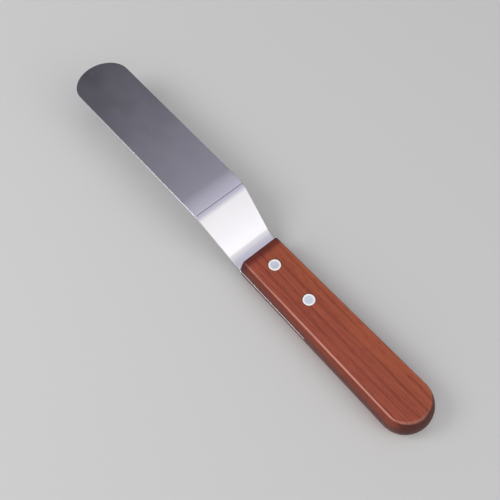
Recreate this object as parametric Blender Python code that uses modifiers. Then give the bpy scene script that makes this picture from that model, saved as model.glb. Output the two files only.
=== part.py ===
"""Offset spatula: a thin steel blade on a cranked neck, riveted into a slotted wooden handle.

The handle lies flat on z = 0 with its butt towards +X. The blade reaches towards -X and stands
above the handle. The origin is halfway along the whole length, on the plane of symmetry y = 0.
Lengths are in metres and angles in radians. Each piece is one object in its own place.
"""

import math

import bmesh
import bpy
from mathutils import Vector

# Driving dimensions
BLADE_REACH = 0.1500  # blade tip to the handle's front end
HANDLE_LENGTH = 0.1235
HANDLE_THICKNESS = 0.0160
HANDLE_FRONT_WIDTH = 0.0272
HANDLE_BUTT_WIDTH = 0.0294
BUTT_DEPTH = 0.0145  # length of the handle's rounded end
BUTT_BULGE = 1.4  # how much more the very end curves inwards than the sides do
SIDE_BULGE = 0.0158  # radius of the handle's barrel-shaped sides, seen along its length
SHOULDER = 0.0015  # radius where a side meets the flat top or underside
FRONT_ROUNDING = 0.0008  # radius where the front end meets the top or underside
CORNER_ROUNDING = 0.0010  # radius of the front end's upright corners
SHEET = 0.0011  # thickness of the steel
BLADE_WIDTH = 0.0330
TIP_DEPTH = 0.0138  # length of the blade's rounded tip
NECK_LENGTH = 0.0329  # handle front to the crease where the neck leaves the blade
NECK_END_WIDTH = 0.0256
OFFSET = 0.0174  # height of the blade above the tang
TANG_LENGTH = 0.0510
RIVET_HEAD = 0.0066  # diameter
RIVET_DISTANCES = {"front_rivet": 0.0122, "rear_rivet": 0.0387}  # from the handle's front end

# Smaller dimensions
GAP = 0.0003  # clearance between neighbouring pieces
BOW_AHEAD = 0.0062  # middle of the blade's slight bow, ahead of the crease
BOW_SLOPE = 0.105  # fall of the blade from that bow to the crease, for each unit of length
BOW_RADIUS = 0.060  # centre-line radius
BLADE_BEND = 0.0080  # centre-line radius of the bend that starts at the crease
BLADE_BEND_BEHIND = 0.0019  # sharp corner of that bend, behind the crease
TANG_BEND = 0.0175  # centre-line radius of the bend at the handle
TANG_BEND_AHEAD = 0.0052  # sharp corner of that bend, ahead of the handle's front end
NECK_CURVE = 0.060  # plan radius where the blade starts to narrow
SHOULDER_CURVE = 0.0012  # plan radius where the neck meets the wider tang
HEAD_THICKNESS = 0.0012
HEAD_DISH = 0.00015  # depth of the hollow in each rivet head
HEAD_EDGE = 0.00025  # chamfer around each rivet head
TUBE_OUTER = 0.0021  # radius of the tubular rivet half's barrel
TUBE_INNER = 0.0015
TUBE_CEILING = 0.0010  # solid metal left between the head and the blind bore
PIN_RADIUS = TUBE_INNER - GAP
CUT_MARGIN = 0.0050  # how far a cutter runs past what it cuts

# Facets
TIP_STEPS = 24  # around each half of the blade's tip
BUTT_STEPS = 16  # around each half of the butt
BEND_STEPS = 8  # around a bend of the sheet or a curve of its outline
ROUNDING_STEPS = 4  # around a rounded edge of the handle, and up each half of its barrel side
DISH_STEPS = 4  # from a rivet head's centre to its rim
TURNED_STEPS = 32  # around a rivet or a drilled hole
SHARP_ANGLE = math.radians(35)  # faces that meet at more than this are shaded with a sharp edge
TINY = 1e-6  # points closer than this are one point

TOTAL_LENGTH = BLADE_REACH + HANDLE_LENGTH
TIP_X = -TOTAL_LENGTH / 2
FRONT_X = TIP_X + BLADE_REACH
BUTT_X = TOTAL_LENGTH / 2
CREASE_X = FRONT_X - NECK_LENGTH
TANG_END_X = FRONT_X + TANG_LENGTH
TANG_Z = HANDLE_THICKNESS / 2  # middle of the sheet inside the handle
BLADE_Z = TANG_Z + OFFSET

STEEL = {"Base Color": (0.62, 0.62, 0.65, 1), "Metallic": 1.0, "Roughness": 0.28}
WOOD = {"Base Color": (0.30, 0.075, 0.04, 1), "Metallic": 0.0, "Roughness": 0.42}
RIVET = {"Base Color": (0.78, 0.79, 0.82, 1), "Metallic": 1.0, "Roughness": 0.20}


def clear_scene():
    for obj in list(bpy.data.objects):
        bpy.data.objects.remove(obj)


def new_collection(name):
    collection = bpy.data.collections.new(name)
    bpy.context.scene.collection.children.link(collection)
    return collection


def new_material(name, values):
    material = bpy.data.materials.new(name)
    material.use_nodes = True
    shader = material.node_tree.nodes["Principled BSDF"]
    for socket, value in values.items():
        shader.inputs[socket].default_value = value
    return material


def new_object(name, data, collection, material=None):
    obj = bpy.data.objects.new(name, data)
    collection.objects.link(obj)
    if material:
        data.materials.append(material)
    return obj


def hide_cutter(obj):
    obj.hide_render = True
    obj.display_type = "WIRE"
    return obj


def rounded_line(points, radii, steps=BEND_STEPS):
    """The points of a line whose inner corners are turned into arcs of the given radii."""
    line = [Vector(points[0])]
    for before, corner, after, radius in zip(points, points[1:], points[2:], radii):
        corner = Vector(corner)
        into = (corner - Vector(before)).normalized()
        out = (Vector(after) - corner).normalized()
        turn = into.angle_signed(out)
        start = corner - into * radius * math.tan(abs(turn) / 2)
        side = Vector((into.y, -into.x)) * math.copysign(radius, turn)
        centre = start + side
        for step in range(steps + 1):
            angle = -turn * step / steps
            spoke = -side
            line.append(centre + Vector((
                spoke.x * math.cos(angle) - spoke.y * math.sin(angle),
                spoke.x * math.sin(angle) + spoke.y * math.cos(angle),
            )))
    line.append(Vector(points[-1]))
    return line


def mirrored(half):
    """A closed outline from its half at y >= 0, whose first and last points may lie on y = 0."""
    other = [Vector((p.x, -p.y)) for p in reversed(half) if p.y > TINY]
    return half + other


def prism(name, outline, low, high, collection):
    """A mesh object between two heights, from a closed outline in the XY plane."""
    curve = bpy.data.curves.new(name, "CURVE")
    curve.dimensions = "2D"
    curve.fill_mode = "BOTH"
    curve.extrude = (high - low) / 2
    spline = curve.splines.new("POLY")
    spline.points.add(len(outline) - 1)
    for point, place in zip(spline.points, outline):
        point.co = (place.x, place.y, 0, 1)
    spline.use_cyclic_u = True
    guide = new_object(name + "_outline", curve, collection)
    guide.location.z = (low + high) / 2
    bpy.context.view_layer.update()
    graph = bpy.context.evaluated_depsgraph_get()
    mesh = bpy.data.meshes.new_from_object(guide.evaluated_get(graph))
    mesh.name = name
    solid = new_object(name, mesh, collection)
    solid.matrix_world = guide.matrix_world
    bpy.data.objects.remove(guide)
    shape = bmesh.new()
    shape.from_mesh(mesh)
    bmesh.ops.remove_doubles(shape, verts=shape.verts, dist=TINY)
    bmesh.ops.recalc_face_normals(shape, faces=shape.faces)
    shape.to_mesh(mesh)
    shape.free()
    return solid


def box(name, low, high, collection):
    """A box between two corners."""
    mesh = bpy.data.meshes.new(name)
    shape = bmesh.new()
    bmesh.ops.create_cube(shape, size=1)
    size = Vector(high) - Vector(low)
    bmesh.ops.scale(shape, vec=size, verts=shape.verts)
    shape.to_mesh(mesh)
    shape.free()
    obj = new_object(name, mesh, collection)
    obj.location = (Vector(low) + Vector(high)) / 2
    return obj


def drill(name, x, radius, low, high, collection):
    """An upright cylinder on the plane of symmetry, used as a cutter."""
    mesh = bpy.data.meshes.new(name)
    shape = bmesh.new()
    bmesh.ops.create_cone(
        shape, cap_ends=True, segments=TURNED_STEPS,
        radius1=radius, radius2=radius, depth=high - low,
    )
    shape.to_mesh(mesh)
    shape.free()
    obj = new_object(name, mesh, collection)
    obj.location = (x, 0, (low + high) / 2)
    return hide_cutter(obj)


def add_boolean(obj, operation, other):
    modifier = obj.modifiers.new(other.name, "BOOLEAN")
    modifier.operation = operation
    modifier.object = other


def smooth(obj):
    obj.data.shade_smooth()
    obj.data.set_sharp_from_angle(angle=SHARP_ANGLE)


def handle_half_width(x):
    """Half the handle's width at its widest level, ahead of the rounded butt."""
    along = (x - FRONT_X) / (HANDLE_LENGTH - BUTT_DEPTH)
    return (HANDLE_FRONT_WIDTH + (HANDLE_BUTT_WIDTH - HANDLE_FRONT_WIDTH) * along) / 2


def quarter_ellipse(centre_x, depth, half_width, steps):
    """Points from the far end, on y = 0, round to the full half width. Negative depth points to -X."""
    points = []
    for step in range(steps + 1):
        angle = math.pi / 2 * step / steps
        points.append(Vector((
            centre_x + depth * math.cos(angle),
            half_width * math.sin(angle),
        )))
    return points


def blade_outline():
    """The stamping seen from above: rounded tip, straight sides, narrowing neck, wider tang."""
    tip = quarter_ellipse(TIP_X + TIP_DEPTH, -TIP_DEPTH, BLADE_WIDTH / 2, TIP_STEPS)
    corners = [
        tip[-1],
        Vector((CREASE_X, BLADE_WIDTH / 2)),
        Vector((FRONT_X - SHOULDER_CURVE, NECK_END_WIDTH / 2)),
        Vector((FRONT_X, handle_half_width(FRONT_X))),
        Vector((TANG_END_X, handle_half_width(TANG_END_X))),
    ]
    side = rounded_line(corners, [NECK_CURVE, SHOULDER_CURVE, SHOULDER_CURVE])
    return mirrored(tip[:-1] + side)


def bent_sheet(name, collection, material):
    """The sheet's side view drawn along its length, swept across and thickened."""
    bow_x = CREASE_X - BOW_AHEAD
    bend_x = CREASE_X + BLADE_BEND_BEHIND
    corners = [
        (TIP_X - CUT_MARGIN, BLADE_Z),
        (bow_x, BLADE_Z),
        (bend_x, BLADE_Z - BOW_SLOPE * (bend_x - bow_x)),
        (FRONT_X - TANG_BEND_AHEAD, TANG_Z),
        (TANG_END_X + CUT_MARGIN, TANG_Z),
    ]
    side_view = rounded_line(corners, [BOW_RADIUS, BLADE_BEND, TANG_BEND])
    across = BLADE_WIDTH / 2 + CUT_MARGIN
    mesh = bpy.data.meshes.new(name)
    shape = bmesh.new()
    line = [shape.verts.new((p.x, -across, p.y)) for p in side_view]
    edges = [shape.edges.new(pair) for pair in zip(line, line[1:])]
    swept = bmesh.ops.extrude_edge_only(shape, edges=edges)["geom"]
    moved = [item for item in swept if isinstance(item, bmesh.types.BMVert)]
    bmesh.ops.translate(shape, vec=(0, 2 * across, 0), verts=moved)
    bmesh.ops.recalc_face_normals(shape, faces=shape.faces)
    shape.to_mesh(mesh)
    shape.free()
    obj = new_object(name, mesh, collection, material)
    thicken = obj.modifiers.new("thickness", "SOLIDIFY")
    thicken.thickness = SHEET
    thicken.offset = 0
    thicken.use_even_offset = True
    return obj


def make_blade(parts, cutters):
    blade = bent_sheet("blade", parts, new_material("steel", STEEL))
    plan = prism("blade_plan", blade_outline(), -CUT_MARGIN, BLADE_Z + CUT_MARGIN, cutters)
    add_boolean(blade, "INTERSECT", hide_cutter(plan))
    for rivet, distance in RIVET_DISTANCES.items():
        hole = drill(
            rivet + "_tang_hole", FRONT_X + distance, TUBE_OUTER + GAP,
            -CUT_MARGIN, HANDLE_THICKNESS + CUT_MARGIN, cutters,
        )
        add_boolean(blade, "DIFFERENCE", hole)
    smooth(blade)


def handle_profile():
    """(inset, height above the middle) up one side: a barrel arc, then the shoulder's arc."""
    top = HANDLE_THICKNESS / 2
    shoulder_z = top - SHOULDER
    shoulder_inset = SIDE_BULGE - math.sqrt((SIDE_BULGE - SHOULDER) ** 2 - shoulder_z ** 2)
    meeting = math.atan2(shoulder_z, SIDE_BULGE - shoulder_inset)
    levels = []
    for step in range(ROUNDING_STEPS):
        angle = meeting * step / ROUNDING_STEPS
        levels.append((SIDE_BULGE * (1 - math.cos(angle)), SIDE_BULGE * math.sin(angle)))
    for step in range(ROUNDING_STEPS + 1):
        angle = meeting + (math.pi / 2 - meeting) * step / ROUNDING_STEPS
        levels.append((
            shoulder_inset - SHOULDER * math.cos(angle),
            shoulder_z + SHOULDER * math.sin(angle),
        ))
    return levels


def front_inset(height):
    """How far the rounded front end lies behind its foremost point, at a height above the middle."""
    rise = height - (HANDLE_THICKNESS / 2 - FRONT_ROUNDING)
    if rise <= 0:
        return 0
    return FRONT_ROUNDING - math.sqrt(max(FRONT_ROUNDING ** 2 - rise ** 2, 0))


def handle_ring(inset, height):
    """The handle's outline at one level: square front end, sides that widen, rounded butt."""
    depth = BUTT_DEPTH - BUTT_BULGE * inset
    butt = quarter_ellipse(BUTT_X - BUTT_DEPTH, depth, HANDLE_BUTT_WIDTH / 2 - inset, BUTT_STEPS)
    front_x = FRONT_X + front_inset(abs(height))
    corner = Vector((front_x, HANDLE_FRONT_WIDTH / 2 - inset))
    side = rounded_line([butt[-1], corner, (front_x, 0)], [CORNER_ROUNDING], ROUNDING_STEPS)
    outline = mirrored(butt[:-1] + side)
    return [(point.x, point.y, HANDLE_THICKNESS / 2 + height) for point in outline]


def loft(name, rings, collection, material):
    """A closed solid through rings that have equally many points."""
    mesh = bpy.data.meshes.new(name)
    shape = bmesh.new()
    loops = [[shape.verts.new(point) for point in ring] for ring in rings]
    for lower, upper in zip(loops, loops[1:]):
        for near, far in zip(range(-1, len(lower) - 1), range(len(lower))):
            shape.faces.new((lower[near], lower[far], upper[far], upper[near]))
    shape.faces.new(loops[0])
    shape.faces.new(loops[-1])
    bmesh.ops.recalc_face_normals(shape, faces=shape.faces)
    shape.to_mesh(mesh)
    shape.free()
    return new_object(name, mesh, collection, material)


def make_handle(parts, cutters):
    upper = handle_profile()
    lower = [(inset, -height) for inset, height in reversed(upper[1:])]
    rings = [handle_ring(inset, height) for inset, height in lower + upper]
    handle = loft("handle", rings, parts, new_material("wood", WOOD))
    slot_half_height = SHEET / 2 + GAP
    across = HANDLE_BUTT_WIDTH / 2 + CUT_MARGIN
    slot = box(
        "tang_slot",
        (FRONT_X - CUT_MARGIN, -across, TANG_Z - slot_half_height),
        (TANG_END_X + GAP, across, TANG_Z + slot_half_height),
        cutters,
    )
    add_boolean(handle, "DIFFERENCE", hide_cutter(slot))
    seat = HEAD_THICKNESS + GAP
    levels = {
        "upper_seat": (HANDLE_THICKNESS - seat, HANDLE_THICKNESS + CUT_MARGIN),
        "lower_seat": (-CUT_MARGIN, seat),
    }
    for rivet, distance in RIVET_DISTANCES.items():
        x = FRONT_X + distance
        hole = drill(
            rivet + "_hole", x, TUBE_OUTER + GAP,
            -CUT_MARGIN, HANDLE_THICKNESS + CUT_MARGIN, cutters,
        )
        add_boolean(handle, "DIFFERENCE", hole)
        for level, (low, high) in levels.items():
            counterbore = drill(rivet + "_" + level, x, RIVET_HEAD / 2 + GAP, low, high, cutters)
            add_boolean(handle, "DIFFERENCE", counterbore)
    smooth(handle)


def head_profile():
    """A rivet head's surface from its axis outwards: a shallow dish, a flat rim, a chamfer."""
    rim = RIVET_HEAD / 2
    dish_radius = rim - 2 * HEAD_EDGE
    profile = []
    for step in range(DISH_STEPS + 1):
        share = step / DISH_STEPS
        profile.append((dish_radius * share, -HEAD_DISH * (1 + math.cos(math.pi * share)) / 2))
    return profile + [
        (rim - HEAD_EDGE, 0),
        (rim, -HEAD_EDGE),
        (rim, -HEAD_THICKNESS),
    ]


def turned(name, profile, material, parts):
    """A solid of revolution about Z from (radius, height) points, top to bottom."""
    mesh = bpy.data.meshes.new(name)
    shape = bmesh.new()
    line = [shape.verts.new((radius, 0, height)) for radius, height in profile]
    for pair in zip(line, line[1:]):
        shape.edges.new(pair)
    shape.to_mesh(mesh)
    shape.free()
    obj = new_object(name, mesh, parts, material)
    spin = obj.modifiers.new("turning", "SCREW")
    spin.steps = TURNED_STEPS
    spin.render_steps = TURNED_STEPS
    spin.use_merge_vertices = True
    spin.merge_threshold = TINY
    spin.use_normal_calculate = False
    return obj


def make_rivet(name, distance, parts):
    """A tubular half let in from above and a solid half pressed into it from below."""
    steel = new_material(name + "_steel", RIVET)
    tube_end = -(HANDLE_THICKNESS - HEAD_THICKNESS - GAP)
    bore_top = -(HEAD_THICKNESS + TUBE_CEILING)
    tube_profile = head_profile() + [
        (TUBE_OUTER, -HEAD_THICKNESS),
        (TUBE_OUTER, tube_end),
        (TUBE_INNER, tube_end),
        (TUBE_INNER, bore_top),
        (0, bore_top),
    ]
    pin_tip = -(HANDLE_THICKNESS + bore_top - GAP)
    pin_profile = head_profile() + [
        (PIN_RADIUS, -HEAD_THICKNESS),
        (PIN_RADIUS, pin_tip),
        (0, pin_tip),
    ]
    x = FRONT_X + distance
    tube = turned(name + "_tube", tube_profile, steel, parts)
    tube.location = (x, 0, HANDLE_THICKNESS)
    pin = turned(name + "_pin", pin_profile, steel, parts)
    pin.location = (x, 0, 0)
    pin.rotation_euler = (math.pi, 0, 0)
    smooth(tube)
    smooth(pin)


def main():
    clear_scene()
    parts = new_collection("offset_spatula")
    cutters = new_collection("cutters")
    make_blade(parts, cutters)
    make_handle(parts, cutters)
    for name, distance in RIVET_DISTANCES.items():
        make_rivet(name, distance, parts)


main()
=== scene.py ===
"""Looks of the offset spatula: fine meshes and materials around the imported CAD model.

Lengths are in metres and angles in radians. Places and sizes come from the CAD nodes' boxes, or
repeat a named dimension of the CAD model that a box can't give.
"""

import math

import bmesh
import bpy
import numpy as np
from mathutils import Matrix, Vector


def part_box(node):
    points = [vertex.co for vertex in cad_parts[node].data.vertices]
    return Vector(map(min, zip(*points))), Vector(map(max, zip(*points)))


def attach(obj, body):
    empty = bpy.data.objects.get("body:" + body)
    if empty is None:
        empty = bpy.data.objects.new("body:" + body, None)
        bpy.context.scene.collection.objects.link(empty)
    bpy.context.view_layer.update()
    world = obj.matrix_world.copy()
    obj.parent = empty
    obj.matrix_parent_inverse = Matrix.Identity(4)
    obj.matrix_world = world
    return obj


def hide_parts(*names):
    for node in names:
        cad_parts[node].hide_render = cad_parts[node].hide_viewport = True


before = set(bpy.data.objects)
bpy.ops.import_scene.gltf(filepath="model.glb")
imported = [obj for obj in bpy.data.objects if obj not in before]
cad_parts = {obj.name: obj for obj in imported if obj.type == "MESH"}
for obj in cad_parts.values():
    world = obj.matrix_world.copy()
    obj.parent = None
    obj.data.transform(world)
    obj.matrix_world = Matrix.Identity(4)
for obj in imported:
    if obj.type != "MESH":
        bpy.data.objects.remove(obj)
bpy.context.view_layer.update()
BODY = "root"

# Dimensions read from the CAD nodes
BLADE_LOW, BLADE_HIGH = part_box("blade")
HANDLE_LOW, HANDLE_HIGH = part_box("handle")
TIP_X = BLADE_LOW.x
TANG_END_X = BLADE_HIGH.x
FRONT_X = HANDLE_LOW.x
BUTT_X = HANDLE_HIGH.x
THICKNESS = HANDLE_HIGH.z
BUTT_HALF_WIDTH = HANDLE_HIGH.y
BLADE_HALF_WIDTH = BLADE_HIGH.y
TANG_Z = THICKNESS / 2
SHEET = 2 * (TANG_Z - BLADE_LOW.z)
BLADE_Z = BLADE_HIGH.z - SHEET / 2

# Dimensions of the CAD model that its boxes don't give
FRONT_HALF_WIDTH = 0.0136
BUTT_DEPTH = 0.0145
BUTT_BULGE = 1.4
SIDE_BULGE = 0.0158
SHOULDER = 0.0015
FRONT_ROUNDING = 0.0008
CORNER_ROUNDING = 0.0010
TIP_DEPTH = 0.0138
NECK_LENGTH = 0.0329
NECK_END_HALF_WIDTH = 0.0128
NECK_CURVE = 0.060
SHOULDER_CURVE = 0.0012
BOW_AHEAD = 0.0062
BOW_SLOPE = 0.105
BLADE_BEND = 0.0080
BLADE_BEND_BEHIND = 0.0019
TANG_BEND = 0.0175
TANG_BEND_AHEAD = 0.0052
GAP = 0.0003
BARREL_RADIUS = 0.0021
BORE_RADIUS = 0.0015
BORE_CEILING = 0.0010
HEAD_THICKNESS = 0.0012

CREASE_X = FRONT_X - NECK_LENGTH

# Finer detail than the CAD model's
BOW_RADIUS = 0.110  # the blade's slight bow, softer than in the CAD model by under 0.1 mm
SHEET_EDGE = 0.00030  # rounding of the stamped sheet's edges
SCORE_WIDTH = 0.0013  # pressed line along the crease
SCORE_DEPTH = 0.00009
SCORE_AHEAD = 0.0003
SCORE_STEPS = 12
SCORE_X = CREASE_X - SCORE_AHEAD
RIM_WIDTH = 0.00115  # raised ring around each rivet head
DISH_DEPTH = 0.00009
DISH_SAG = 0.12  # how much deeper than that the dish's middle is, as a share
STATION_SPACING = 0.0025  # between cross-lines of the blade and of the handle
EDGE_STEPS = 4
RIM_STEPS = 10
BEND_STEPS = 14
TIP_STEPS = 40
BUTT_STEPS = 36
BARREL_STEPS = 8
SHOULDER_STEPS = 6
TURNED_STEPS = 96
CUT_MARGIN = 0.005
SHARP_ANGLE = math.radians(38)
TINY = 1e-7
RING_SPACING = 0.0046  # between the wood's growth rings
RING_LEAN = math.radians(24)

# Floor
FLOOR_SIZE = 10.0
FLOOR_DROP = 0.0001  # keeps the floor clear of the handle's underside

# Camera: it looks at AIM from this direction, as in the reference view
AIM = Vector((0.0071, -0.00125, 0.0080))
CAMERA_DISTANCE = 0.4719
CAMERA_AZIMUTH = math.radians(49.28)
CAMERA_ELEVATION = math.radians(61.67)
LENS_MM = 63.14
SENSOR_MM = 36.0


# ---------------------------------------------------------------- shapes

def rounded_line(points, radii, steps):
    """The points of a line whose inner corners are turned into arcs of the given radii."""
    line = [Vector(points[0])]
    for before, corner, after, radius in zip(points, points[1:], points[2:], radii):
        corner = Vector(corner)
        into = (corner - Vector(before)).normalized()
        out = (Vector(after) - corner).normalized()
        turn = into.angle_signed(out)
        start = corner - into * radius * math.tan(abs(turn) / 2)
        side = Vector((into.y, -into.x)) * math.copysign(radius, turn)
        for step in range(steps + 1):
            spoke = Matrix.Rotation(-turn * step / steps, 2) @ -side
            line.append(start + side + spoke)
    line.append(Vector(points[-1]))
    return line


def quarter_ellipse(centre_x, depth, half_width, steps):
    """Points from the far end, on y = 0, round to the full half width. Negative depth points to -X."""
    angles = [math.pi / 2 * step / steps for step in range(steps + 1)]
    return [Vector((centre_x + depth * math.cos(a), half_width * math.sin(a))) for a in angles]


def with_stations(half, stations):
    """The half outline with a point added wherever it crosses one of the given x stations."""
    line = [half[0]]
    for start, end in zip(half, half[1:]):
        low, high = sorted((start.x, end.x))
        inside = sorted(x for x in stations if low + TINY < x < high - TINY)
        if start.x > end.x:
            inside.reverse()
        line += [start.lerp(end, (x - start.x) / (end.x - start.x)) for x in inside]
        line.append(end)
    return line


def spaced(low, high):
    """Evenly spaced x stations between two ends."""
    count = round((high - low) / STATION_SPACING)
    return [low + (high - low) * step / count for step in range(count + 1)]


def closed_loop(half):
    """The whole outline from its half at y >= 0, whose first point alone is on y = 0."""
    points = [(p.x, p.y) for p in half] + [(p.x, -p.y) for p in reversed(half[1:])]
    return np.array(points)


def inset_loop(loop, inset):
    """A closed outline moved inwards by a distance, its corners mitred."""
    into = loop - np.roll(loop, 1, axis=0)
    into /= np.linalg.norm(into, axis=1, keepdims=True)
    out = np.roll(into, -1, axis=0)
    normal = (into + out) @ np.array([[0, 1], [-1, 0]])
    normal *= 2 / (normal ** 2).sum(axis=1, keepdims=True)
    following = np.roll(loop, -1, axis=0)
    area = (loop[:, 0] * following[:, 1] - loop[:, 1] * following[:, 0]).sum()
    return loop + normal * inset * math.copysign(1, area)


def new_piece(name, mesh):
    obj = bpy.data.objects.new(name, mesh)
    bpy.context.scene.collection.objects.link(obj)
    return obj


def stack(name, rings):
    """A closed solid through symmetric rings, capped by strips that run across it."""
    count = len(rings[0])
    faces = []
    for level in range(len(rings) - 1):
        for index in range(count):
            near, far = level * count + index, level * count + (index + 1) % count
            faces.append((near, far, far + count, near + count))
    for base in (0, (len(rings) - 1) * count):
        faces.append((base, base + 1, base + count - 1))
        for index in range(1, count // 2):
            other = count - index
            faces.append((base + index, base + index + 1, base + other - 1, base + other))
    mesh = bpy.data.meshes.new(name)
    mesh.from_pydata(np.concatenate(rings).tolist(), [], faces)
    shape = bmesh.new()
    shape.from_mesh(mesh)
    bmesh.ops.recalc_face_normals(shape, faces=shape.faces)
    shape.to_mesh(mesh)
    shape.free()
    return new_piece(name, mesh)


def turned(name, profile, place, flipped=False):
    """A solid of revolution about the vertical from (radius, height) points, top to bottom."""
    mesh = bpy.data.meshes.new(name)
    shape = bmesh.new()
    line = [shape.verts.new((radius, 0, height)) for radius, height in profile]
    edges = [shape.edges.new(pair) for pair in zip(line, line[1:])]
    bmesh.ops.spin(
        shape, geom=line + edges, axis=(0, 0, 1), cent=(0, 0, 0),
        angle=2 * math.pi, steps=TURNED_STEPS,
    )
    bmesh.ops.remove_doubles(shape, verts=shape.verts, dist=TINY)
    if flipped:
        bmesh.ops.rotate(shape, verts=shape.verts, matrix=Matrix.Rotation(math.pi, 3, "X"))
    bmesh.ops.translate(shape, verts=shape.verts, vec=place)
    bmesh.ops.recalc_face_normals(shape, faces=shape.faces)
    shape.to_mesh(mesh)
    shape.free()
    return new_piece(name, mesh)


def cutter_box(low, high):
    mesh = bpy.data.meshes.new("cutter")
    shape = bmesh.new()
    bmesh.ops.create_cube(shape, size=1)
    bmesh.ops.scale(shape, vec=high - low, verts=shape.verts)
    bmesh.ops.translate(shape, vec=(low + high) / 2, verts=shape.verts)
    shape.to_mesh(mesh)
    shape.free()
    return new_piece("cutter", mesh)


def cutter_drill(x, radius, low, high):
    return turned("cutter", [(0, high), (radius, high), (radius, low), (0, low)], (x, 0, 0))


def cut(obj, cutters):
    """Takes the cutters away from the object, then removes them."""
    for cutter in cutters:
        modifier = obj.modifiers.new("cut", "BOOLEAN")
        modifier.operation = "DIFFERENCE"
        modifier.object = cutter
    bpy.context.view_layer.update()
    graph = bpy.context.evaluated_depsgraph_get()
    mesh = bpy.data.meshes.new_from_object(obj.evaluated_get(graph))
    obj.modifiers.clear()
    obj.data = mesh
    mesh.name = obj.name
    for cutter in cutters:
        bpy.data.objects.remove(cutter)


def finish_piece(obj, node, material):
    """Shades a piece, gives it its material and lets it stand for a CAD node."""
    obj.data.materials.clear()
    obj.data.materials.append(material)
    obj.data.shade_smooth()
    obj.data.set_sharp_from_angle(angle=SHARP_ANGLE)
    weighted = obj.modifiers.new("weighted_normals", "WEIGHTED_NORMAL")
    weighted.keep_sharp = True
    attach(obj, BODY)
    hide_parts(node)


# ---------------------------------------------------------------- blade

def handle_half_width(x):
    """Half the handle's width at its widest level, ahead of the rounded butt."""
    along = (x - FRONT_X) / (BUTT_X - BUTT_DEPTH - FRONT_X)
    return FRONT_HALF_WIDTH + (BUTT_HALF_WIDTH - FRONT_HALF_WIDTH) * along


def side_view():
    """The sheet's centre line seen from the side, as (x, z) points."""
    bow_x = CREASE_X - BOW_AHEAD
    bend_x = CREASE_X + BLADE_BEND_BEHIND
    corners = [
        (TIP_X, BLADE_Z),
        (bow_x, BLADE_Z),
        (bend_x, BLADE_Z - BOW_SLOPE * (bend_x - bow_x)),
        (FRONT_X - TANG_BEND_AHEAD, TANG_Z),
        (TANG_END_X, TANG_Z),
    ]
    return rounded_line(corners, [BOW_RADIUS, BLADE_BEND, TANG_BEND], BEND_STEPS)


def blade_half():
    """Half the stamping's outline seen from above, from the tip's end to the tang's corner."""
    tip = quarter_ellipse(TIP_X + TIP_DEPTH, -TIP_DEPTH, BLADE_HALF_WIDTH, TIP_STEPS)
    corners = [
        tip[-1],
        (CREASE_X, BLADE_HALF_WIDTH),
        (FRONT_X - SHOULDER_CURVE, NECK_END_HALF_WIDTH),
        (FRONT_X, handle_half_width(FRONT_X)),
        (TANG_END_X, handle_half_width(TANG_END_X)),
    ]
    radii = [NECK_CURVE, SHOULDER_CURVE, SHOULDER_CURVE]
    side = rounded_line(corners, radii, BEND_STEPS)
    bends = [p.x for p in side_view()[1:-1]]
    score = [SCORE_X + SCORE_WIDTH * (step / SCORE_STEPS - 0.5) for step in range(SCORE_STEPS + 1)]
    ordinary = [
        x for x in bends + spaced(tip[-1].x, TANG_END_X)[1:-1]
        if abs(x - SCORE_X) > SCORE_WIDTH * 0.6
    ]
    return with_stations(tip[:-1] + side, ordinary + score)


def fold(loop, height):
    """A flat outline, at a height above the sheet's middle, bent to the sheet's side view."""
    line = np.array([tuple(p) for p in side_view()])
    steps = np.diff(line, axis=0)
    slopes = np.arctan2(steps[:, 1], steps[:, 0])
    middles = (line[1:, 0] + line[:-1, 0]) / 2
    slope = np.interp(loop[:, 0], middles, slopes)
    z = np.interp(loop[:, 0], line[:, 0], line[:, 1])
    x = np.clip(loop[:, 0] - height * np.sin(slope), TIP_X, TANG_END_X)
    # The press leaves a shallow score along the crease, on the outer face
    across = np.clip((loop[:, 0] - SCORE_X) / SCORE_WIDTH, -0.5, 0.5)
    score = SCORE_DEPTH * (1 + np.cos(2 * math.pi * across)) / 2 if height > 0 else 0
    return np.column_stack([x, loop[:, 1], z + height * np.cos(slope) - score])


def make_blade(material):
    loop = closed_loop(blade_half())
    levels = []
    for step in range(EDGE_STEPS + 1):
        angle = math.pi / 2 * step / EDGE_STEPS
        inset = SHEET_EDGE * (1 - math.cos(angle))
        levels.append((inset, SHEET / 2 - SHEET_EDGE + SHEET_EDGE * math.sin(angle)))
    below = [(inset, -height) for inset, height in reversed(levels)]
    rings = [fold(inset_loop(loop, inset), height) for inset, height in below + levels]
    blade = stack("spatula_blade", rings)
    cut(blade, [
        cutter_drill(x, BARREL_RADIUS + GAP, -CUT_MARGIN, THICKNESS + CUT_MARGIN)
        for x in rivet_places()
    ])
    finish_piece(blade, "blade", material)


# ---------------------------------------------------------------- handle

def handle_profile():
    """(inset, height above the middle) up one side: a barrel arc, then the shoulder's arc."""
    shoulder_z = THICKNESS / 2 - SHOULDER
    shoulder_inset = SIDE_BULGE - math.sqrt((SIDE_BULGE - SHOULDER) ** 2 - shoulder_z ** 2)
    meeting = math.atan2(shoulder_z, SIDE_BULGE - shoulder_inset)
    levels = []
    for step in range(BARREL_STEPS):
        angle = meeting * step / BARREL_STEPS
        levels.append((SIDE_BULGE * (1 - math.cos(angle)), SIDE_BULGE * math.sin(angle)))
    for step in range(SHOULDER_STEPS + 1):
        angle = meeting + (math.pi / 2 - meeting) * step / SHOULDER_STEPS
        levels.append((
            shoulder_inset - SHOULDER * math.cos(angle),
            shoulder_z + SHOULDER * math.sin(angle),
        ))
    return levels


def front_inset(height):
    """How far the rounded front end lies behind its foremost point, at a height from the middle."""
    rise = max(height - (THICKNESS / 2 - FRONT_ROUNDING), 0)
    return FRONT_ROUNDING - math.sqrt(max(FRONT_ROUNDING ** 2 - rise ** 2, 0))


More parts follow.
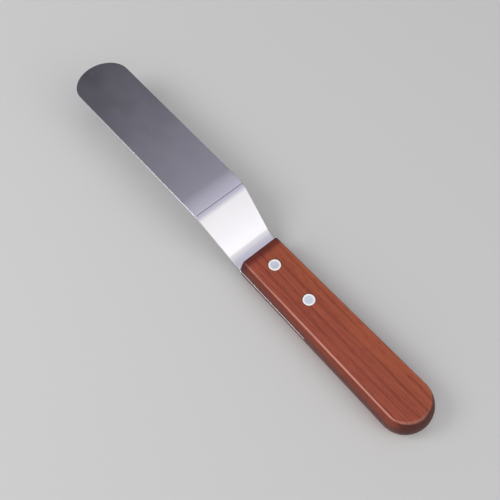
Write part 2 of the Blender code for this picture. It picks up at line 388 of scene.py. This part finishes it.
def handle_ring(inset, height):
    """The handle's outline at one level: square front end, sides that widen, rounded butt."""
    depth = BUTT_DEPTH - BUTT_BULGE * inset
    butt = quarter_ellipse(BUTT_X - BUTT_DEPTH, depth, BUTT_HALF_WIDTH - inset, BUTT_STEPS)
    front_x = FRONT_X + front_inset(abs(height))
    corner = (front_x, FRONT_HALF_WIDTH - inset)
    side = rounded_line([butt[-1], corner, (front_x, 0)], [CORNER_ROUNDING], EDGE_STEPS)[:-1]
    half = with_stations(
        butt[:-1] + side, spaced(FRONT_X + CUT_MARGIN, BUTT_X - BUTT_DEPTH - STATION_SPACING)
    )
    loop = closed_loop(half)
    return np.column_stack([loop, np.full(len(loop), TANG_Z + height)])


def make_handle(material):
    upper = handle_profile()
    lower = [(inset, -height) for inset, height in reversed(upper[1:])]
    handle = stack("spatula_handle", [handle_ring(*level) for level in lower + upper])
    across = BUTT_HALF_WIDTH + CUT_MARGIN
    cutters = [cutter_box(
        Vector((FRONT_X - CUT_MARGIN, -across, TANG_Z - SHEET / 2 - GAP)),
        Vector((TANG_END_X + GAP, across, TANG_Z + SHEET / 2 + GAP)),
    )]
    seat = HEAD_THICKNESS + GAP
    for x in rivet_places():
        hole = BARREL_RADIUS + GAP
        wide = rivet_head_radius() + GAP
        cutters.append(cutter_drill(x, hole, -CUT_MARGIN, THICKNESS + CUT_MARGIN))
        cutters.append(cutter_drill(x, wide, THICKNESS - seat, THICKNESS + CUT_MARGIN))
        cutters.append(cutter_drill(x, wide, -CUT_MARGIN, seat))
    cut(handle, cutters)
    finish_piece(handle, "handle", material)


# ---------------------------------------------------------------- rivets

def rivet_places():
    boxes = [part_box(node) for node in ("front_rivet_tube", "rear_rivet_tube")]
    return [(low.x + high.x) / 2 for low, high in boxes]


def rivet_head_radius():
    low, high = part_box("front_rivet_tube")
    return (high.x - low.x) / 2


def head_profile():
    """A rivet head from its axis outwards and down: shallow dish, soft rim, upright edge."""
    head = rivet_head_radius()
    inner = head - RIM_WIDTH
    dish = []
    for step in range(EDGE_STEPS + 1):
        sag = DISH_SAG * math.cos(math.pi * step / EDGE_STEPS)
        dish.append((inner * step / EDGE_STEPS, -DISH_DEPTH * (1 + sag)))
    rim = []
    for step in range(1, RIM_STEPS + 1):
        share = step / RIM_STEPS
        height = -DISH_DEPTH * (1 + math.cos(2 * math.pi * share)) / 2
        rim.append((inner + RIM_WIDTH * share, height))
    return dish + rim + [(head, -HEAD_THICKNESS)]


def make_rivets(material):
    tube_end = -(THICKNESS - HEAD_THICKNESS - GAP)
    bore_top = -(HEAD_THICKNESS + BORE_CEILING)
    tube = head_profile() + [
        (BARREL_RADIUS, -HEAD_THICKNESS),
        (BARREL_RADIUS, tube_end),
        (BORE_RADIUS, tube_end),
        (BORE_RADIUS, bore_top),
        (0, bore_top),
    ]
    pin_tip = -(THICKNESS + bore_top - GAP)
    pin = head_profile() + [
        (BORE_RADIUS - GAP, -HEAD_THICKNESS),
        (BORE_RADIUS - GAP, pin_tip),
        (0, pin_tip),
    ]
    for name, x in zip(("front_rivet", "rear_rivet"), rivet_places()):
        upper = turned(name + "_upper", tube, (x, 0, THICKNESS))
        finish_piece(upper, name + "_tube", material)
        lower = turned(name + "_lower", pin, (x, 0, 0), flipped=True)
        finish_piece(lower, name + "_pin", material)


# ---------------------------------------------------------------- materials

def add(tree, kind, inputs=None, **settings):
    """A node with its settings, and its inputs set to values or linked to sockets."""
    made = tree.nodes.new(kind)
    for name, value in settings.items():
        setattr(made, name, value)
    for name, value in (inputs or {}).items():
        if isinstance(value, bpy.types.NodeSocket):
            tree.links.new(value, made.inputs[name])
        else:
            made.inputs[name].default_value = value
    return made


def maths(tree, operation, first, second=0.0, third=0.0):
    inputs = {0: first, 1: second, 2: third}
    return add(tree, "ShaderNodeMath", inputs, operation=operation).outputs[0]


def noise(tree, place, scale, detail=2.0, roughness=0.5):
    """Noise from 0 to 1, with features about 1 / scale metres long on each axis."""
    stretched = add(tree, "ShaderNodeMapping", {"Vector": place, "Scale": scale})
    inputs = {
        "Vector": stretched.outputs[0], "Scale": 1.0, "Detail": detail, "Roughness": roughness,
    }
    return add(tree, "ShaderNodeTexNoise", inputs).outputs[0]


def spread(tree, value, low, high, to_low=0.0, to_high=1.0):
    """The value's range from low to high turned smoothly into another range."""
    inputs = {
        "Value": value, "From Min": low, "From Max": high, "To Min": to_low, "To Max": to_high,
    }
    made = add(tree, "ShaderNodeMapRange", inputs, interpolation_type="SMOOTHSTEP")
    return made.outputs[0]


def blend_colours(tree, share, first, second, blend="MIX"):
    made = add(tree, "ShaderNodeMix", data_type="RGBA", blend_type=blend)
    for socket, value in ((0, share), (6, first), (7, second)):
        if isinstance(value, bpy.types.NodeSocket):
            tree.links.new(value, made.inputs[socket])
        else:
            made.inputs[socket].default_value = value
    return made.outputs[2]


def new_material(name):
    material = bpy.data.materials.new(name)
    material.use_nodes = True
    tree = material.node_tree
    return material, tree, tree.nodes["Principled BSDF"]


def bump(tree, shader, height, depth, strength=1.0):
    """Surface relief from a height of 0 to 1, up to the given depth."""
    inputs = {"Height": height, "Distance": depth, "Strength": strength}
    made = add(tree, "ShaderNodeBump", inputs)
    tree.links.new(made.outputs[0], shader.inputs["Normal"])


def steel_material():
    """Satin spring steel: rolled lengthwise, lightly scuffed."""
    material, tree, shader = new_material("satin_steel")
    coordinates = add(tree, "ShaderNodeTexCoord")
    place = coordinates.outputs["Object"]
    rolling = noise(tree, place, (40, 3200, 3200), 3.0)
    clouds = noise(tree, place, (60, 90, 90), 2.0)
    scuffs = spread(tree, noise(tree, place, (260, 2600, 260), 4.0, 0.65), 0.64, 0.78)
    tint = blend_colours(tree, clouds, (0.590, 0.580, 0.635, 1), (0.625, 0.615, 0.665, 1))
    tint = blend_colours(tree, maths(tree, "MULTIPLY", scuffs, 0.08), tint, (0.85, 0.85, 0.88, 1))

    # The cut edges are rougher than the rolled faces; their paler, warm colour is a painted highlight
    normal = add(tree, "ShaderNodeSeparateXYZ", {0: coordinates.outputs["Normal"]}).outputs
    cut_edge = spread(tree, maths(tree, "ABSOLUTE", normal[2]), 0.75, 0.35)
    # Painted highlight: a pale, warm colour on the cut edges
    tint = blend_colours(tree, cut_edge, tint, (0.90, 0.82, 0.78, 1))
    tree.links.new(tint, shader.inputs["Base Color"])
    shader.inputs["Metallic"].default_value = 1.0
    satin = spread(tree, clouds, 0.3, 0.7, 0.21, 0.24)
    satin = maths(tree, "MULTIPLY_ADD", rolling, 0.03, satin)
    satin = maths(tree, "MULTIPLY_ADD", scuffs, 0.05, satin)
    tree.links.new(maths(tree, "MULTIPLY_ADD", cut_edge, 0.20, satin), shader.inputs["Roughness"])
    relief = maths(tree, "MULTIPLY_ADD", scuffs, -0.3, rolling)
    bump(tree, shader, relief, 0.000003)
    return material


def radius_from(tree, place, x):
    """The distance of a place from the upright axis at the given x."""
    spoke = add(tree, "ShaderNodeVectorMath", {0: place, 1: (x, 0, 0)}, operation="SUBTRACT")
    flat = {0: spoke.outputs[0], 1: (1, 1, 0)}
    level = add(tree, "ShaderNodeVectorMath", flat, operation="MULTIPLY")
    inputs = {0: level.outputs[0]}
    return add(tree, "ShaderNodeVectorMath", inputs, operation="LENGTH").outputs["Value"]


def rivet_material():
    """Bright plated steel: a bluish, lightly marked dish in each head, and a satin rim painted white
    as a highlight.
    """
    material, tree, shader = new_material("bright_steel")
    place = add(tree, "ShaderNodeTexCoord").outputs["Object"]
    marks = noise(tree, place, (900, 900, 900), 4.0, 0.6)
    tint = blend_colours(tree, marks, (0.70, 0.80, 0.87, 1), (0.87, 0.95, 0.98, 1))
    radii = [radius_from(tree, place, x) for x in rivet_places()]
    inner = rivet_head_radius() - RIM_WIDTH
    rim = spread(tree, maths(tree, "MINIMUM", *radii), inner - RIM_WIDTH / 4, inner + RIM_WIDTH / 3)
    # Painted highlight: the rim's white colour
    tint = blend_colours(tree, rim, tint, (0.99, 0.965, 0.955, 1))
    tree.links.new(tint, shader.inputs["Base Color"])
    shader.inputs["Metallic"].default_value = 1.0
    polish = spread(tree, marks, 0.3, 0.7, 0.18, 0.26)
    tree.links.new(maths(tree, "MULTIPLY_ADD", rim, 0.60, polish), shader.inputs["Roughness"])
    bump(tree, shader, marks, 0.000006)
    return material


def wood_material():
    """Red-brown hardwood, its grain lines and pores running along the handle under worn varnish."""
    material, tree, shader = new_material("handle_wood")
    coordinates = add(tree, "ShaderNodeTexCoord")
    place = coordinates.outputs["Object"]
    axes = add(tree, "ShaderNodeSeparateXYZ", {0: place}).outputs

    # Growth rings: tilted sheets along the handle, seen as lines on its top and its sides
    across = maths(tree, "MULTIPLY", axes[1], math.cos(RING_LEAN))
    across = maths(tree, "MULTIPLY_ADD", axes[2], math.sin(RING_LEAN), across)
    drift = noise(tree, place, (7, 75, 75), 2.0)
    waver = noise(tree, place, (40, 260, 260), 2.0)
    across = maths(tree, "MULTIPLY_ADD", drift, 0.0070, across)
    across = maths(tree, "MULTIPLY_ADD", waver, 0.0005, across)
    ring = maths(tree, "FRACT", maths(tree, "MULTIPLY", across, 1 / RING_SPACING))
    late = maths(tree, "MULTIPLY", spread(tree, ring, 0.62, 0.90), spread(tree, ring, 1.0, 0.93))
    fading = noise(tree, place, (16, 140, 140), 2.0)
    late = maths(tree, "MULTIPLY", late, spread(tree, fading, 0.30, 0.58, 0.15, 1.0))

    streaks = noise(tree, place, (28, 1500, 1500), 4.0, 0.6)
    pores = spread(tree, noise(tree, place, (170, 2300, 2300), 2.0), 0.57, 0.68)
    blotches = noise(tree, place, (22, 90, 90), 3.0)

    warm = maths(tree, "MULTIPLY_ADD", axes[1], 32.0, 0.35)
    warm = maths(tree, "MULTIPLY_ADD", maths(tree, "SUBTRACT", blotches, 0.5), 1.2, warm)
    colour = blend_colours(
        tree, spread(tree, warm, 0.0, 1.0), (0.265, 0.049, 0.026, 1), (0.325, 0.071, 0.021, 1)
    )
    colour = blend_colours(
        tree, spread(tree, streaks, 0.35, 0.65, 0.0, 0.42), colour, (0.44, 0.108, 0.048, 1)
    )
    lines = maths(tree, "MULTIPLY", late, 0.55)
    colour = blend_colours(tree, lines, colour, (0.140, 0.018, 0.006, 1))
    pits = maths(tree, "MULTIPLY", pores, 0.42)
    colour = blend_colours(tree, pits, colour, (0.085, 0.012, 0.005, 1))

    # Painted shade: the sides are darker than the flat faces, more so towards the front, and darkest
    # where they turn steep
    normal = add(tree, "ShaderNodeSeparateXYZ", {0: coordinates.outputs["Normal"]}).outputs
    upright = maths(tree, "ABSOLUTE", normal[2])
    side_shade_strength = spread(tree, axes[0], FRONT_X, FRONT_X + 0.060, 0.85, 0.50)
    side = maths(tree, "MULTIPLY", spread(tree, upright, 0.80, 0.45), side_shade_strength)
    colour = blend_colours(tree, side, colour, (0.130, 0.014, 0.004, 1))
    # Painted shade, darkest on the steep parts of the sides
    steep_side_shade = maths(tree, "MULTIPLY", spread(tree, upright, 0.36, 0.04), 0.70)
    colour = blend_colours(tree, steep_side_shade, colour, (0.045, 0.006, 0.003, 1))

    # End grain soaks up the stain, and the wood is darker in a band just behind its front end
    front_end = spread(tree, normal[0], -0.08, -0.42)
    butt_end = spread(tree, normal[0], 0.15, 0.72)
    end_grain = maths(tree, "MULTIPLY", maths(tree, "MAXIMUM", front_end, butt_end), 0.94)
    front_band = spread(tree, axes[0], FRONT_X + 0.0022, FRONT_X + 0.0062, 1.0, 0.0)
    front_band = maths(tree, "MULTIPLY", front_band, spread(tree, blotches, 0.30, 0.70, 0.75, 1.0))
    # A darker band on the wood just behind the front end
    colour = blend_colours(tree, front_band, colour, (0.080, 0.005, 0.003, 1))
    colour = blend_colours(tree, end_grain, colour, (0.050, 0.006, 0.003, 1))

    # Paler shoulders, partly worn edges and partly a painted highlight: strongest on the -Y side,
    # where the left softbox's light falls, fading in at the front end, growing towards the back and
    # fading near the butt
    shoulder = maths(
        tree, "MULTIPLY", spread(tree, upright, 0.998, 0.970), spread(tree, upright, 0.50, 0.75)
    )
    wear_and_highlight = maths(tree, "MULTIPLY", shoulder, maths(tree, "SUBTRACT", 1.0, front_end))
    wear_and_highlight = maths(tree, "MULTIPLY", wear_and_highlight, spread(tree, normal[1], 0.10, -0.10, 0.35, 1.0))
    wear_and_highlight = maths(tree, "MULTIPLY", wear_and_highlight, spread(tree, streaks, 0.35, 0.60, 0.35, 0.70))
    wear_and_highlight = maths(tree, "MULTIPLY", wear_and_highlight, spread(tree, axes[0], FRONT_X, FRONT_X + 0.008))
    wear_and_highlight = maths(
        tree, "MULTIPLY", wear_and_highlight, spread(tree, axes[0], FRONT_X, FRONT_X + 0.065, 0.60, 1.20)
    )
    wear_and_highlight = maths(
        tree, "MULTIPLY", wear_and_highlight, spread(tree, axes[0], BUTT_X - 0.016, BUTT_X - 0.006, 1.0, 0.30)
    )
    # Painted highlight and pale wear blended into the shoulders' colour
    colour = blend_colours(tree, wear_and_highlight, colour, (0.590, 0.260, 0.190, 1))
    tree.links.new(colour, shader.inputs["Base Color"])

    gloss = spread(tree, streaks, 0.3, 0.7, 0.34, 0.42)
    gloss = maths(tree, "MULTIPLY_ADD", pores, 0.25, gloss)
    gloss = maths(tree, "MULTIPLY_ADD", end_grain, 0.25, gloss)
    tree.links.new(gloss, shader.inputs["Roughness"])
    shader.inputs["Specular IOR Level"].default_value = 0.25
    shader.inputs["Coat Weight"].default_value = 0.20
    shader.inputs["Coat Roughness"].default_value = 0.25
    relief = maths(tree, "MULTIPLY_ADD", pores, -1.0, maths(tree, "MULTIPLY", streaks, 0.5))
    bump(tree, shader, relief, 0.00006)
    return material


# ---------------------------------------------------------------- studio

def make_floor():
    mesh = bpy.data.meshes.new("floor")
    shape = bmesh.new()
    bmesh.ops.create_grid(shape, x_segments=1, y_segments=1, size=FLOOR_SIZE)
    shape.to_mesh(mesh)
    shape.free()
    floor = new_piece("floor", mesh)
    floor.location.z = -FLOOR_DROP
    material, _, shader = new_material("pale_floor")
    shader.inputs["Base Color"].default_value = (0.60, 0.60, 0.585, 1)
    shader.inputs["Roughness"].default_value = 0.75
    mesh.materials.append(material)


def make_surroundings():
    """A soft tent of light: dim above the tip and behind the tool, bright beyond the butt.

    A low glow beyond the tip keeps the blade from going black in views from the butt's side.
    """
    world = bpy.data.worlds.new("light_tent")
    world.use_nodes = True
    tree = world.node_tree
    direction = add(tree, "ShaderNodeTexCoord").outputs["Generated"]
    along, across, upwards = add(tree, "ShaderNodeSeparateXYZ", {0: direction}).outputs
    overhead = spread(tree, along, -0.645, -0.22, 0.02, 0.84)
    beyond_butt = spread(tree, along, 0.05, 0.62)
    strength = maths(tree, "MULTIPLY_ADD", beyond_butt, 0.38, overhead)
    strength = maths(tree, "MULTIPLY", strength, spread(tree, across, 0.40, 0.75, 1.0, 0.35))
    low = spread(tree, upwards, 0.60, 0.35, 0.0, 0.45)
    glow = maths(tree, "MULTIPLY", low, spread(tree, along, -0.35, -0.60))
    strength = maths(tree, "ADD", strength, glow)
    tint = blend_colours(tree, beyond_butt, (0.965, 0.95, 1.07, 1), (1.03, 1.025, 0.96, 1))
    background = tree.nodes["Background"]
    tree.links.new(tint, background.inputs["Color"])
    tree.links.new(strength, background.inputs["Strength"])
    bpy.context.scene.world = world
    bpy.context.scene.view_settings.view_transform = "Standard"


def softbox(name, direction, distance, size, watts):
    """A square area light that faces the object from the given direction."""
    light = bpy.data.lights.new(name, "AREA")
    light.shape = "SQUARE"
    light.size = size
    light.energy = watts
    lamp = bpy.data.objects.new(name, light)
    towards = Vector(direction).normalized()
    lamp.location = AIM + towards * distance
    lamp.rotation_euler = towards.to_track_quat("Z", "Y").to_euler()
    bpy.context.scene.collection.objects.link(lamp)


def make_camera():
    flat = math.cos(CAMERA_ELEVATION)
    back = Vector((
        math.sin(CAMERA_AZIMUTH) * flat,
        -math.cos(CAMERA_AZIMUTH) * flat,
        math.sin(CAMERA_ELEVATION),
    ))
    camera = bpy.data.cameras.new("camera")
    camera.lens = LENS_MM
    camera.sensor_width = SENSOR_MM
    camera.clip_start = 0.01
    holder = bpy.data.objects.new("camera", camera)
    holder.location = AIM + back * CAMERA_DISTANCE
    holder.rotation_euler = back.to_track_quat("Z", "Y").to_euler()
    bpy.context.scene.collection.objects.link(holder)
    bpy.context.scene.camera = holder


make_camera()
make_floor()
make_surroundings()
softbox("left_softbox", (-0.36, -0.60, 0.70), distance=0.9, size=0.42, watts=2.5)
softbox("right_softbox", (0.80, 0.20, 0.50), distance=0.9, size=0.45, watts=0.75)
make_blade(steel_material())
make_handle(wood_material())
make_rivets(rivet_material())
